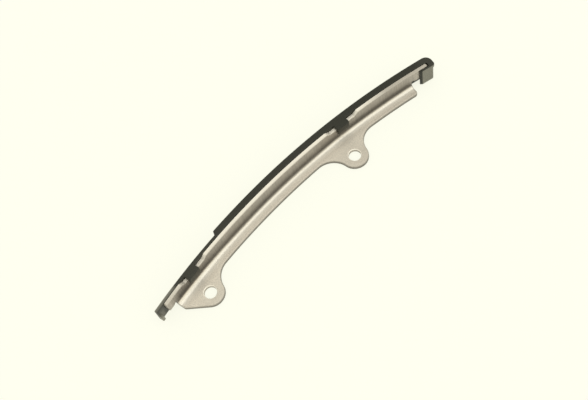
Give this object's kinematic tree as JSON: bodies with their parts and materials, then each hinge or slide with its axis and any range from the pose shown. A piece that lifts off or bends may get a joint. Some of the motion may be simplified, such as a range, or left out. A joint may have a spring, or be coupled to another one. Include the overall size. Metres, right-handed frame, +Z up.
{
  "type": "timing chain guide",
  "caption": "Curved pressed-steel bracket with bolt ears, carrying a moulded black nylon chain shoe that hooks and clips over its wall.",
  "frame": {"origin": "midway between the two bolt holes, on the seating face under the flange", "axes": "+X along the bolt line towards the hooked end, +Y towards the chain side, +Z up from the seating face along the bolts"},
  "size_m": [0.1986, 0.029, 0.0122],
  "materials": {
    "steel": "plain pressed sheet",
    "nylon": "moulded, slight sheen"
  },
  "bodies": {
    "root": {"guide_bracket": "steel", "chain_shoe": "nylon"}
  },
  "joints": []
}
